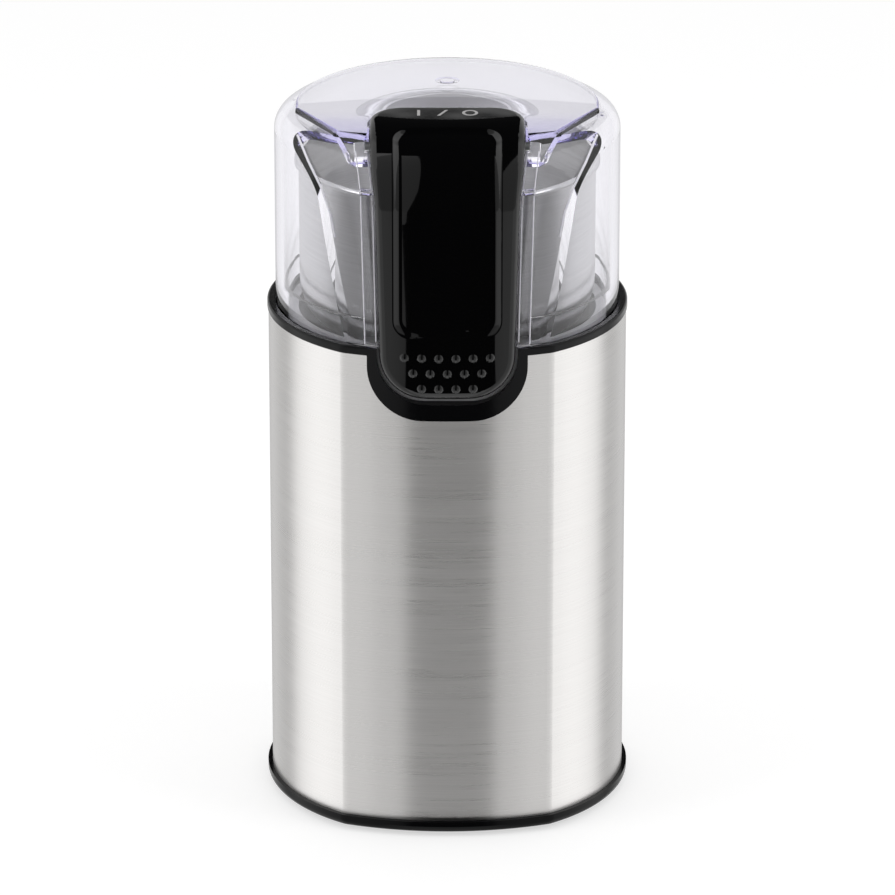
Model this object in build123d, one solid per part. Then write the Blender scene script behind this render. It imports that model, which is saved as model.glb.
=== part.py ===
from build123d import *
import math
import os

# Electric coffee grinder: steel body, clear lid with a long press paddle, steel bowl, blade and motor.
# Millimetres. Origin at the middle of the round body, on the surface it stands on. Front is -Y, up is +Z.

# Plan outline of the body: a round back, and one shallow curve across the front
body_radius = 46.5
front_radius = 75.0
front_cut = 3.5
outline_blend = 6.0

# Steel sleeve
sleeve_thickness = 0.8
sleeve_height = 128.1

# Base cover, its upstand inside the sleeve, vents and feet
foot_stand = 1.0
base_thickness = 3.2
base_proud = 1.2
base_edge_round = 1.9
base_floor = 2.4
upstand_wall = 1.5
upstand_height = 6.0
vent_count = 18
vent_width = 2.0
vent_length = 11.0
vent_circle = 21.0
foot_radius = 6.0
foot_inset = 11.5
foot_turn = 90.0
foot_recess = 0.8
foot_round = 0.5
screw_recess = 0.4

# How far a cutting shape reaches past what it cuts, and how near to a face an edge counts as on it
beyond = 10.0
near = 0.01

# Clearances
fit_gap = 0.1
bore_gap = 0.02
shaft_gap = 0.05
slide_gap = 0.05
touch_gap = 0.1

# Black rim, skirt and the U-shaped bezel that frames the foot of the paddle
rim_proud = 0.3
rim_height = 2.1
rim_round = 0.6
seat_depth = 0.8
seat_gap = 0.3
skirt_wall = 1.8
skirt_depth = 32.0
rim_web = 1.6
notch_half_width = 20.5
notch_depth = 16.7
notch_corner = 14.0
notch_wall = 1.7
bezel_proud = 0.8
bezel_lap = 1.0
paddle_side_gap = 0.7
paddle_foot_gap = 1.7

# Deck under the bowl, its posts and ribs
deck_drop = 18.8
deck_thickness = 2.5
cup_wall = 2.0
cup_gap = 0.3
rib_gap = 1.06
rib_wall = 2.0
gasket_height = 1.5
post_inset = 10.0
post_turn = 30.0
post_root = 0.5
post_gap = 1.0
post_radius = 3.6
post_foot_boss = 2.4
mount_circle = 21.5
mount_radius = 4.2
mount_boss_height = 8.0
boss_roof = 1.0
mount_tip_gap = 2.0

# Grinding bowl
bowl_inset = 4.7
bowl_sheet = 0.7
bowl_corner = 14.0
bowl_sink = 4.8
bowl_depth = 46.0
lip_radius = 0.7
lip_out = 0.3

# Clamp bush that holds the bowl down, its nut, and the seal round the shaft
clamp_radius = 6.0
clamp_bore_gap = 0.3
clamp_flange_radius = 8.5
clamp_flange = 1.4
clamp_flange_round = 0.5
clamp_tail = 7.0
clamp_nut_flats = 17.0
clamp_nut_height = 4.5
seal_radius = 5.0
seal_depth = 2.0

# Lid
lid_inset = 1.9
lid_wall = 2.2
lid_headroom = 12.1
lid_edge_round = 5.0
lid_inner_round = 3.2
lid_top_wall = 2.4
lid_band_height = 7.2
lid_band_extra = 1.0
cheek_wall = 1.6
cheek_lean = 4.2
roll_radius = 22.0
roll_over = 4.9
hood_inset = 7.5
hood_rise = 1.4
hood_dome = 1.4
hood_edge_round = 0.7
brow_inset = 9.9
brow_turn = 28.6
gate_radius = 3.15
gate_core = 1.9
gate_depth = 0.5
gate_y = 15.0
channel_wall = 1.4
channel_side_wall = 3.25
channel_gap = 0.45
channel_foot_drop = 20.0
lid_rib_proud = 1.3
lid_rib_round = 0.45
lid_rib_foot = 2.6
lid_rib_step = 0.35
lip_gap = 0.3
bay_start = 25.0
pocket_floor = 1.8
pocket_rise = 0.5
pocket_gap = 0.8
pocket_rear_gap = 0.6

# Paddle
paddle_foot_drop = 10.6
paddle_thickness = 2.7
paddle_foot_half = 17.0
paddle_waist_half = 18.3
paddle_waist_drop = 19.0
paddle_head_half = 19.9
paddle_head_drop = 3.0
paddle_corner = 11.5
paddle_press_room = 1.7
paddle_roll = 21.5
paddle_rise = 4.4
paddle_length = 33.4
paddle_rear_corner = 9.0
paddle_edge_round = 2.2
scoop_half_width = 14.4
scoop_depth = 1.0
scoop_floor_round = 2.6
scoop_edge_round = 0.9
scoop_foot_rise = 16.3
scoop_end_inset = 16.7
scoop_corner = 5.0
dot_radius = 1.15
dot_rise = 0.55
dot_root = 0.6
dot_pitch = 4.33
dot_rows = 3
dot_top_row = 6
dot_row_pitch = 4.1
dot_top_rise = 11.4
lug_radius = 3.2
lug_thickness = 2.4
lug_inset = 2.2
lug_gap = 0.5
lug_wall = 1.5

# Paddle pivot, a steel pin held by the lid's side walls
pin_radius = 1.5
pin_seat = 0.6
pin_end_gap = 0.05
pivot_inset = 15.4
pivot_drop = 5.5

# Switch plunger and micro switch behind the paddle
plunger_drop = 8.3
plunger_radius = 2.5
plunger_flange_radius = 3.2
plunger_flange = 1.2
plunger_tail_radius = 1.2
plunger_wall_gap = 0.3
plunger_gap = 0.2
plunger_round = 0.6
press_travel = 1.94
press_spare = 0.4
spring_length = 5.6
spring_radius = 1.9
spring_wire = 0.3
spring_turns = 4
spring_plate = 1.5
spring_plate_half = 5.0
switch_width = 19.8
switch_offset = 2.9
switch_depth = 10.2
switch_thickness = 6.4
switch_button_half = 0.9
switch_button_height = 1.5
switch_rib = 1.6
switch_rib_inset = 1.2
switch_gap = 1.4
switch_screw_edge = 2.0
switch_corner = 0.6
terminal_pitch = 4.5
terminal_width = 3.2
terminal_drop = 4.8
terminal_sheet = 0.6
small_screw = 1.0

# Motor: stacked core, coils, brackets, brushes
core_corner = 7.0
core_length = 24.0
core_bore = 14.0
pole_shoe = 2.3
pole_half = 10.3
yoke_side = 5.0
yoke_end = 5.3
coil_gap = 0.4
coil_height = 7.5
coil_side_gap = 3.3
coil_clear = 0.3
coil_depth = 5.6
coil_corner = 5.0
armature_gap = 0.5
armature_slots = 12
slot_circle = 10.3
slot_radius = 1.9
slot_mouth = 1.3
winding_radius = 12.4
winding_height = 5.8
winding_round = 1.4
winding_gap = 1.5
slot_fill_gap = 0.25
bracket_thickness = 2.5
bracket_post = 3.2
bracket_hub = 8.5
air_slot_x = 18.0
air_slot_length = 24.0
air_slot_width = 7.0
pad_start = 15.0
pad_half = 3.0
bush_radius = 6.0
bush_length = 8.0
bush_drop = 2.5
bush_rise = 1.0
hub_lap = 0.5
shaft_radius = 3.0
bolt_radius = 2.0
bolt_head_out = 1.2
bolt_head = 1.8
bolt_inset = 4.7
damper_height = 4.5
winding_end_gap = 0.5
commutator_gap = 1.8
commutator_radius = 8.5
commutator_length = 12.0
commutator_bars = 12
bar_slit = 0.6
bar_depth = 1.2
riser_out = 1.2
riser_height = 1.6
brush_width = 6.0
brush_height = 5.0
brush_length = 11.0
holder_wall = 1.0
holder_reach = 29.0
holder_start = 10.2
brush_gap = 0.05
brush_spring_radius = 1.9
brush_spring_turns = 4
fan_radius = 25.0
fan_disc = 1.4
fan_height = 10.0
fan_blades = 9
fan_blade_wall = 1.2
fan_hub = 6.5
fan_hub_rise = 1.0
fan_sweep = 12.0
fan_edge_gap = 0.5
washer_radius = 5.5
washer_thickness = 1.0
washer_gap = 0.2
shaft_tail = 1.5

# Blade and its drive hub
hub_radius = 7.0
hub_height = 5.0
hub_gap = 0.6
hub_round = 0.8
blade_tip_gap = 7.3
blade_width = 13.0
blade_sheet = 1.5
blade_tip_rise = 4.0
blade_tip_twist = 16.0
blade_flat = 9.0
blade_taper = 4.0
blade_sections = 4
edge_width = 3.0
edge_sheet = 0.4
cap_radius = 5.5
cap_height = 4.5
cap_round = 1.6
cap_roof = 1.5

# Cord inlet in the back
inlet_height = 18.0
inlet_radius = 4.5
inlet_bore = 3.3
inlet_flange_radius = 6.5
inlet_flange = 1.4
inlet_inner_lip = 1.8

# Screws
screw_radius = 1.5
screw_head_radius = 3.0
screw_head = 1.8
screw_hole_gap = 0.2
screw_bite = 9.0
screw_tip_gap = 1.0

# Plan sizes that follow from the body's outline
front_reach = body_radius - front_cut
front_centre = front_radius - front_reach
skirt_outer = -(sleeve_thickness + fit_gap)
bowl_radius = front_reach - bowl_inset
lip_reach = bowl_radius + lip_out + lip_radius
cup_radius = bowl_radius + cup_gap
blade_reach = bowl_radius - blade_tip_gap
hood_radius = body_radius - hood_inset
brow_reach = body_radius - brow_inset
foot_circle = body_radius - foot_inset
post_circle = body_radius - post_inset
core_width = 2 * (post_circle * math.cos(math.radians(post_turn)) - post_radius - post_gap)
core_depth = 2 * (winding_radius + coil_clear + coil_depth + coil_gap + yoke_end)
coil_width = core_width / 2 - yoke_side - pole_half - coil_gap - coil_side_gap
bolt_x = core_width / 2 - bolt_inset
bolt_y = core_depth / 2 - bolt_inset

# Distances forward from the axis, on the centre line, from the bowl out to the paddle
channel_in = lip_reach + lip_gap
channel_out = channel_in + channel_wall
lid_front = front_reach - lid_inset
paddle_back = channel_out + paddle_press_room
paddle_front = paddle_back + paddle_thickness
paddle_rear = paddle_length - paddle_front
pocket_rear = paddle_rear + pocket_rear_gap
pivot_reach = paddle_front - pivot_inset
notch_floor = paddle_back - press_travel - press_spare
notch_back = notch_floor - notch_wall

# Heights of the body, the bowl, the lid and the paddle
base_top = foot_stand + base_thickness
sleeve_top = base_top + sleeve_height
rim_top = sleeve_top + rim_height
lid_seat = rim_top - seat_depth
deck_bottom = sleeve_top - deck_drop - deck_thickness
deck_top = deck_bottom + deck_thickness
bowl_foot = sleeve_top - bowl_sink
bowl_inside = bowl_foot + bowl_sheet
lip_height = bowl_foot + bowl_depth
post_foot = base_top - base_thickness + base_floor + post_foot_boss
lid_top_height = lip_height + lid_headroom
hood_top = lid_top_height + hood_rise
roll_top = lid_top_height + roll_over
paddle_top = lid_top_height + paddle_rise
paddle_foot_height = sleeve_top - paddle_foot_drop
paddle_waist_height = paddle_top - paddle_waist_drop
paddle_head_height = paddle_top - paddle_head_drop
scoop_foot = paddle_foot_height + scoop_foot_rise
scoop_end = paddle_front - scoop_end_inset
dot_top_height = paddle_foot_height + dot_top_rise
pivot_height = paddle_top - pivot_drop
pin_length = lug_thickness + lug_inset + channel_gap + pin_seat
pocket_foot = lip_height + pocket_rise
pocket_top_floor = pocket_foot + pocket_floor
pocket_roll = paddle_roll - paddle_thickness - pocket_gap
pocket_top = paddle_top - paddle_thickness - pocket_gap
hub_foot = bowl_inside + clamp_flange + hub_gap
blade_foot = hub_foot + hub_height
shaft_top = blade_foot + blade_sheet + cap_height - cap_roof

# Places of the plunger, the switch behind it and the rib that holds the bowl's gasket
plunger_height = sleeve_top - plunger_drop
spring_seat = cup_radius - plunger_wall_gap - plunger_flange - spring_length
button_proud = press_travel + press_spare
button_tip = spring_seat - spring_plate - switch_gap
switch_front = button_tip - button_proud
switch_bottom = plunger_height - switch_thickness / 2
rib_inner = switch_front - switch_depth - rib_gap - rib_wall

# Heights of the motor, which hangs from the deck, from the top down
upper_bracket_top = deck_bottom - mount_boss_height - damper_height
upper_bracket_foot = upper_bracket_top - bracket_thickness
upper_bush_foot = upper_bracket_top + bush_rise - bush_length
core_top = upper_bush_foot - washer_gap - washer_thickness - winding_end_gap - winding_height
core_foot = core_top - core_length
commutator_foot = core_foot - winding_height - commutator_gap - commutator_length
brush_mid = commutator_foot + commutator_length / 2
lower_bush_foot = commutator_foot - washer_thickness - 2 * washer_gap - bush_length
lower_bracket_top = lower_bush_foot + bush_drop + bracket_thickness
fan_foot = lower_bush_foot - 2 * washer_gap - washer_thickness - fan_hub_rise - fan_height
shaft_foot = fan_foot - shaft_tail


# Shared shapes

def footprint(grow):
    """Plan outline of the body, grown or shrunk all round."""
    back = body_radius + grow
    front = front_radius + grow
    corner_y = (back ** 2 - front ** 2 + front_centre ** 2) / (2 * front_centre)
    corner_x = math.sqrt(back ** 2 - corner_y ** 2)
    left = (-corner_x, corner_y)
    right = (corner_x, corner_y)
    edges = [ThreePointArc(left, (0, back), right), ThreePointArc(left, (0, front_centre - front), right)]
    plan = make_face(edges)
    return fillet(plan.vertices(), outline_blend)


def prism(plan, low, high):
    """A plan outline raised from one height to another."""
    return Pos(0, 0, low) * extrude(plan, high - low)


def disc(radius, low, high, x=0, y=0):
    """An upright cylinder between two heights."""
    return Pos(x, y, (low + high) / 2) * Cylinder(radius, high - low)


def tube(outer, inner, low, high, x=0, y=0):
    """An upright tube between two heights."""
    return disc(outer, low, high, x, y) - disc(inner, low - 1, high + 1, x, y)


def block(x0, x1, y0, y1, z0, z1):
    """A box given by its limits."""
    return Pos((x0 + x1) / 2, (y0 + y1) / 2, (z0 + z1) / 2) * Box(x1 - x0, y1 - y0, z1 - z0)


def rod(radius, start, end, x, z):
    """A cylinder along Y, from one Y to another."""
    return Pos(x, (start + end) / 2, z) * Rot(X=90) * Cylinder(radius, end - start)


def front_shell(inner_reach, outer_reach, low, high):
    """The space between two front curves that share the body's front centre."""
    plan = Circle(front_centre + outer_reach) - Circle(front_centre + inner_reach)
    half = body_radius + beyond
    return Pos(0, front_centre) * prism(plan, low, high) & block(-half, half, -2 * body_radius, 0, low, high)


def forward(outline, start, end):
    """An outline drawn in the XZ plane, pushed forward between two reaches."""
    return extrude(Plane.XZ.offset(start) * outline, end - start)


def notch_outline(grow):
    """U-shaped outline of the bezel, open at the top."""
    half = notch_half_width + grow
    low = sleeve_top - notch_depth - grow
    high = rim_top + beyond
    shape = Pos(0, (low + high) / 2) * Rectangle(2 * half, high - low)
    return fillet(shape.vertices().sort_by(Axis.Y)[:2], notch_corner + grow)


def paddle_outline(grow, drop, top):
    """Front outline of the paddle: round foot, slow taper, flared head."""
    slope = (paddle_waist_half - paddle_foot_half) / (paddle_waist_height - paddle_foot_height)
    foot = paddle_foot_height - drop
    foot_half = paddle_foot_half + grow - slope * drop
    waist_half = paddle_waist_half + grow
    head_half = paddle_head_half + grow
    edges = [Line((-foot_half, foot), (foot_half, foot)), Line((-head_half, top), (head_half, top))]
    for side in (-1, 1):
        waist = (side * waist_half, paddle_waist_height)
        head = (side * head_half, paddle_head_height)
        edges.append(Line((side * foot_half, foot), waist))
        edges.append(Spline(waist, head, tangents=((side * slope, 1), (0, 1))))
        edges.append(Line(head, (side * head_half, top)))
    face = make_face(edges)
    return fillet(face.vertices().sort_by(Axis.Y)[:2], paddle_corner + grow)


def around_front_centre(profile):
    """Turns a profile, drawn as (distance from the front centre, height), about the front centre."""
    return Pos(0, front_centre) * revolve(Plane.XZ * profile, Axis.Z, 360)


def rolled_profile(reach, lean, radius, top, low):
    """A front that leans back, then rolls over into a flat top; it is solid back to the front centre."""
    lean_angle = math.radians(lean)
    foot = (front_centre + reach, low)
    centre_height = top - radius
    tangent_height = centre_height + radius * math.sin(lean_angle)
    tangent = (foot[0] - (tangent_height - foot[1]) * math.tan(lean_angle), tangent_height)
    centre = (tangent[0] - radius * math.cos(lean_angle), centre_height)
    crown = (centre[0], top)
    middle_angle = (lean_angle + math.pi / 2) / 2
    middle = (centre[0] + radius * math.cos(middle_angle), centre[1] + radius * math.sin(middle_angle))
    face = [Line(foot, tangent), ThreePointArc(tangent, middle, crown)]
    return make_face(face + [Polyline(crown, (0, top), (0, low), foot)])


def on_rolled_face(edge, reach, radius, top):
    """Whether an edge lies on an upright face that rolls over into a flat top."""
    point = edge @ 0.5
    out = math.hypot(point.X, point.Y - front_centre) - front_centre
    centre = reach - radius
    if point.Z < top - radius:
        off = out - reach
    elif out > centre:
        off = math.hypot(out - centre, point.Z - top + radius) - radius
    else:
        off = point.Z - top
    return abs(off) < near


def helix_spring(radius, wire, length, turns):
    """A coil spring standing on its end at the origin."""
    pitch = (length - 2 * wire) / turns
    path = Pos(0, 0, wire) * Helix(pitch, length - 2 * wire, radius)
    section = Plane(path @ 0, z_dir=path % 0) * Circle(wire)
    return sweep(section, path)


# Body

def steel_sleeve():
    shell = prism(footprint(0), base_top, sleeve_top) - prism(footprint(-sleeve_thickness), 0, sleeve_top + 1)
    shell -= forward(notch_outline(-bezel_lap), bay_start, front_reach + beyond)
    return shell - rod(inlet_radius + fit_gap, body_radius - 5, body_radius + 5, 0, inlet_height)


def paddle_recess():
    """Room for the foot of the paddle, at rest and pressed."""
    outline = paddle_outline(paddle_side_gap, paddle_foot_gap, paddle_top)
    outline &= Pos(0, rim_top) * Rectangle(4 * notch_half_width, 4 * notch_depth)
    space = forward(outline, bay_start, paddle_front + beyond)
    return space & front_shell(notch_floor, paddle_front + beyond, 0, rim_top + beyond)


def bezel():
    """The U-shaped frame: a plug inside the steel's cut-out and a flange that laps its edge."""
    steel_face = front_reach + touch_gap / 2
    plug = forward(notch_outline(-bezel_lap - fit_gap), bay_start, front_reach + beyond)
    plug &= front_shell(notch_back, steel_face, 0, sleeve_top)
    flange = forward(notch_outline(0), bay_start, front_reach + beyond)
    flange &= front_shell(steel_face, front_reach + bezel_proud, 0, rim_top)
    return plug + flange


def rim():
    """The ring on top of the sleeve, with the seat that the lid drops into."""
    ring = prism(footprint(rim_proud), sleeve_top, rim_top)
    ring = fillet(ring.edges().group_by(Axis.Z)[-1], rim_round)
    ring += prism(footprint(skirt_outer), sleeve_top - rim_web, sleeve_top)
    return ring


def post_places(circle, first):
    """Three places spread evenly on a circle."""
    angles = [math.radians(first + 120 * i) for i in range(3)]
    return [(circle * math.cos(a), circle * math.sin(a)) for a in angles]


def switch_cradle():
    """Ribs on the deck that hold the micro switch, and the plate that the plunger spring pushes on."""
    left = switch_offset - switch_width / 2
    right = switch_offset + switch_width / 2
    high = switch_bottom
    ribs = []
    for x in (left + switch_rib_inset, right - switch_rib_inset - switch_rib):
        ribs.append(block(x, x + switch_rib, -switch_front, -switch_front + switch_depth, deck_top, high))
    plate_front = spring_seat
    plate = block(-spring_plate_half, spring_plate_half, -plate_front, -plate_front + spring_plate,
                  deck_top, bowl_foot - cup_gap)
    hole = plunger_tail_radius + plunger_wall_gap
    plate -= rod(hole, -plate_front - 1, -plate_front + spring_plate + 1, 0, plunger_height)
    return [plate] + ribs


def housing():
    """The black inner moulding: rim, bezel, skirt, bowl cup, deck, posts and motor bosses."""
    skirt_plan = footprint(skirt_outer) - footprint(skirt_outer - skirt_wall)
    body = rim()
    body += prism(skirt_plan, sleeve_top - skirt_depth, sleeve_top)
    body += prism(footprint(skirt_outer), deck_bottom, deck_top)
    body += tube(cup_radius + cup_wall, cup_radius, deck_top, sleeve_top)
    body += bezel()
    body += tube(rib_inner + rib_wall, rib_inner, deck_top, bowl_foot - gasket_height)
    for x, y in post_places(post_circle, post_turn):
        body += disc(post_radius, post_foot, deck_bottom, x, y)
    for x, y in post_places(mount_circle, post_turn):
        body += disc(mount_radius, deck_bottom - mount_boss_height, deck_bottom, x, y)
    for piece in switch_cradle():
        body += piece
    body -= disc(cup_radius, bowl_foot, rim_top + 1)
    body -= prism(footprint(seat_gap - lid_inset), lid_seat, rim_top + 1)
    body -= paddle_recess()
    body -= disc(clamp_radius + bore_gap, deck_bottom - 1, deck_top + 1)
    body -= rod(plunger_radius + slide_gap, -front_reach, -spring_seat, 0, plunger_height)
    for x, y in post_places(post_circle, post_turn):
        body -= disc(screw_radius, post_foot - 1, post_foot + screw_bite, x, y)
    for x, y in post_places(mount_circle, post_turn):
        body -= disc(screw_radius, deck_bottom - mount_boss_height - 1, deck_bottom - boss_roof, x, y)
    return body


def base_cover():
    """Bottom moulding: the black ring under the sleeve, the floor with its vents, and the upstand."""
    body = prism(footprint(base_proud), foot_stand, base_top)
    body = fillet(body.edges().group_by(Axis.Z)[0], base_edge_round)
    body += prism(footprint(skirt_outer), base_top, base_top + upstand_height)
    inside = footprint(skirt_outer - upstand_wall)
    body -= prism(inside, foot_stand + base_floor, base_top + upstand_height + 1)
    for x, y in post_places(post_circle, post_turn):
        body += disc(post_radius, foot_stand + base_floor - post_root, post_foot, x, y)
    for x, y in post_places(post_circle, post_turn):
        body -= disc(screw_radius + screw_hole_gap, 0, post_foot + 1, x, y)
        body -= disc(screw_head_radius + screw_hole_gap, 0, foot_stand + screw_head + screw_recess, x, y)
    for x, y in post_places(foot_circle, foot_turn):
        body -= disc(foot_radius + bore_gap, 0, foot_stand + foot_recess, x, y)
    slot = Pos(vent_circle, 0) * SlotOverall(vent_length, vent_width)
    for i in range(vent_count):
        body -= Rot(Z=360 / vent_count * (i + 0.5)) * prism(slot, 0, foot_stand + base_floor + 1)
    return body


def rubber_feet():
    feet = []
    for x, y in post_places(foot_circle, foot_turn):
        foot = disc(foot_radius, 0, foot_stand + foot_recess, x, y)
        feet.append(fillet(foot.edges().group_by(Axis.Z)[0], foot_round))
    return feet


def cord_inlet():
    """Bush in the back of the sleeve, where the cord goes in."""
    ring = rod(inlet_flange_radius, 0, body_radius + beyond, 0, inlet_height)
    outside = tube(body_radius + inlet_flange, body_radius, 0, 2 * inlet_height)
    inside = tube(body_radius - sleeve_thickness, body_radius - sleeve_thickness - inlet_inner_lip,
                  0, 2 * inlet_height)
    neck = rod(inlet_radius, 0, body_radius + beyond, 0, inlet_height)
    through = tube(body_radius + inlet_flange, body_radius - sleeve_thickness - inlet_inner_lip,
                   0, 2 * inlet_height)
    body = (ring & outside) + (ring & inside) + (neck & through)
    body &= block(-body_radius, body_radius, 0, body_radius * 2, 0, 2 * inlet_height)
    return body - rod(inlet_bore, 0, body_radius + beyond, 0, inlet_height)


def round_screw(x, y, head_low, head_high, tip, radius, head_radius):
    """A screw with a round head below and its shank pointing up."""
    return disc(head_radius, head_low, head_high, x, y) + disc(radius - bore_gap, head_high, tip, x, y)


def base_screws():
    low = foot_stand + screw_recess
    tip = post_foot + screw_bite - screw_tip_gap
    return [round_screw(x, y, low, low + screw_head, tip, screw_radius, screw_head_radius)
            for x, y in post_places(post_circle, post_turn)]


# Bowl and its clamp

def bowl_form(inset, top):
    """The bowl's outline turned about the axis, moved inwards by an amount."""
    radius = bowl_radius - inset
    foot = bowl_foot + inset
    corner = bowl_corner - inset
    bend = math.sqrt(0.5) * corner
    edges = [
        Line((0, foot), (radius - corner, foot)),
        ThreePointArc((radius - corner, foot), (radius - corner + bend, foot + corner - bend),
                      (radius, foot + corner)),
        Polyline((radius, foot + corner), (radius, top), (0, top), (0, foot)),
    ]
    return revolve(Plane.XZ * make_face(edges), Axis.Z)


def grinding_bowl():
    lip_centre = lip_height - lip_radius
    shell = bowl_form(0, lip_centre) - bowl_form(bowl_sheet, lip_centre + 5)
    lip = revolve(Plane.XZ * Pos(bowl_radius + lip_out, lip_centre) * Circle(lip_radius), Axis.Z)
    return shell + lip - disc(clamp_radius + bore_gap, 0, bowl_inside + 1)


def bowl_gasket():
    return tube(rib_inner + rib_wall, rib_inner, bowl_foot - gasket_height, bowl_foot)


def clamp_bush():
    top = bowl_inside + clamp_flange
    bush = disc(clamp_flange_radius, bowl_inside, top)
    bush = fillet(bush.edges().group_by(Axis.Z)[-1], clamp_flange_round)
    bush += disc(clamp_radius, deck_bottom - clamp_tail, bowl_inside)
    bush -= disc(shaft_radius + clamp_bore_gap, 0, top + 1)
    return bush - disc(seal_radius, top - seal_depth, top + 1)


def clamp_nut():
    hexagon = RegularPolygon(clamp_nut_flats / 2, 6, major_radius=False)
    nut = prism(hexagon, deck_bottom - clamp_nut_height, deck_bottom)
    return nut - disc(clamp_radius + bore_gap, 0, deck_top)


def shaft_seal():
    top = bowl_inside + clamp_flange
    return tube(seal_radius - bore_gap, shaft_radius + shaft_gap, top - seal_depth, top)


# Lid

def brow_plan():
    """Plan of the raised cap: a circle at the back and sides, drawn in by two straight brows."""
    size = 3 * hood_radius
    plan = Circle(hood_radius) + Pos(0, -size / 2) * Rectangle(2 * hood_radius, size)
    for side in (0, 1):
        beyond = Pos(-brow_reach - size / 2, 0) * Rectangle(size, 2 * size)
        cut = Rot(Z=brow_turn) * beyond
        plan -= mirror(cut, Plane.YZ) if side else cut
    return plan


def hood():
    """The raised cap: gently domed, with a rounded edge and the ring left by moulding."""
    sphere = (hood_radius ** 2 + hood_dome ** 2) / (2 * hood_dome)
    dome = Pos(0, 0, hood_top + hood_dome - sphere) * Sphere(sphere)
    cap = prism(brow_plan(), lid_top_height - lid_edge_round, hood_top + hood_dome + 1) & dome
    cap = fillet(cap.faces().sort_by(Axis.Z)[-1].edges(), hood_edge_round)
    surface = hood_top + hood_dome - sphere + math.sqrt(sphere ** 2 - gate_y ** 2)
    return cap - tube(gate_radius, gate_core, surface - gate_depth, surface + 1, 0, gate_y)


def lid_skin():
    """Outside of the lid with nothing taken out of it."""
    base = prism(footprint(-lid_inset), lid_seat, lid_top_height)
    base = fillet(base.edges().group_by(Axis.Z)[-1], lid_edge_round)
    base &= around_front_centre(rolled_profile(lid_front, cheek_lean, roll_radius, roll_top, lid_seat))
    cap = hood() + channel_block(lid_seat, hood_top)
    cap &= around_front_centre(rolled_profile(lid_front, 0, roll_radius, roll_top, lid_seat))
    return base + cap


def channel_outline():
    """Front outline of the band that holds the paddle channel and its two side walls."""
    return paddle_outline(channel_gap + channel_side_wall, channel_foot_drop, 2 * paddle_top)


def channel_opening():
    """Front outline of the channel itself."""
    return paddle_outline(channel_gap, channel_foot_drop, 2 * paddle_top)


def channel_block(low, high):
    """That band as a solid, from inside the lid out past its front."""
    band = forward(channel_outline(), bay_start, front_reach + beyond)
    return band & block(-body_radius, body_radius, -2 * body_radius, 0, low, high)


def lid_ribs():
    """Two rounded ribs on the lid's front, one along each side of the paddle, each on a small foot."""
    low = rim_top + seat_gap
    reach = lid_front + lid_rib_proud
    radius = roll_radius + lid_rib_proud
    top = roll_top + lid_rib_proud
    space = forward(channel_outline() - channel_opening(), bay_start, 2 * body_radius)
    space &= block(-body_radius, body_radius, -2 * body_radius, 0, low, pocket_top_floor)
    ribs = space & around_front_centre(rolled_profile(reach, 0, radius, top, lid_seat))
    borders = ribs.edges().filter_by(lambda edge: on_rolled_face(edge, reach, radius, top))
    seam_height = top - radius
    borders = borders.filter_by(lambda edge: abs((edge @ 0.5).Z - seam_height) > near)
    ribs = fillet(borders.filter_by(lambda edge: (edge @ 0.5).Z > low + near), lid_rib_round)
    feet = space & front_shell(lid_front, reach + lid_rib_step, low, low + lid_rib_foot)
    return ribs + feet


def pocket_skin(inset):
    """The channel's floor above the bowl: it follows the underside of the paddle."""
    profile = rolled_profile(channel_out - inset, 0, pocket_roll - inset, pocket_top - inset, 0)
    return around_front_centre(profile)


def lid_hollow():
    """Space inside the lid, with the channel's own walls left standing."""
    ceiling = lid_top_height - lid_top_wall
    inside = prism(footprint(-lid_inset - lid_wall), lid_seat - 1, ceiling)
    inside = fillet(inside.edges().group_by(Axis.Z)[-1], lid_inner_round)
    band = footprint(-lid_inset - lid_wall - lid_band_extra)
    inside -= prism(footprint(1), lid_seat - 1, lid_seat + lid_band_height) - prism(band, 0, lid_top_height)
    inside &= around_front_centre(rolled_profile(lid_front - cheek_wall, cheek_lean, roll_radius - cheek_wall,
                                                 roll_top - cheek_wall, lid_seat - 1))
    band = forward(channel_outline(), bay_start, 2 * body_radius)
    inside -= band
    bay = band - front_shell(channel_in, 4 * body_radius, 0, 2 * paddle_top)
    inside += bay & block(-body_radius, body_radius, -2 * body_radius, 0, lid_seat - 1, pocket_foot)
    inside += band & pocket_skin(pocket_floor) & block(-body_radius, body_radius, -2 * body_radius, 0,
                                                       pocket_foot - 1, ceiling)
    for x0, x1 in side_ranges(lug_inner() - lug_gap - lug_wall, paddle_head_half + channel_side_wall):
        inside -= lug_slot(x0, x1, lug_gap + lug_wall)
    return inside


def lid_channel():
    """The channel for the paddle: straight in front of the bowl, and rolled over above it."""
    outline = channel_opening()
    shell = front_shell(channel_out, 2 * body_radius, 0, 2 * paddle_top)
    low = forward(outline, bay_start, 2 * body_radius) & shell
    high = forward(outline, -pocket_rear, 2 * body_radius)
    high &= prism(paddle_plan(pocket_rear_gap), pocket_top_floor, 2 * paddle_top)
    space = low + (high - pocket_skin(0))
    for x0, x1 in side_ranges(lug_inner() - lug_gap, paddle_head_half):
        space += lug_slot(x0, x1, lug_gap) & forward(outline, 0, 2 * body_radius)
    return space


def lid():
    body = lid_skin() + lid_ribs()
    body -= lid_hollow()
    body -= lid_channel()
    for side in (-1, 1):
        body -= pivot_rod(side, pin_radius, pin_length)
    return body


def side_ranges(inner, outer):
    """The same range of X on the left and on the right."""
    return [(-outer, -inner), (inner, outer)]


def lug_inner():
    return paddle_head_half - lug_inset - lug_thickness


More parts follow.
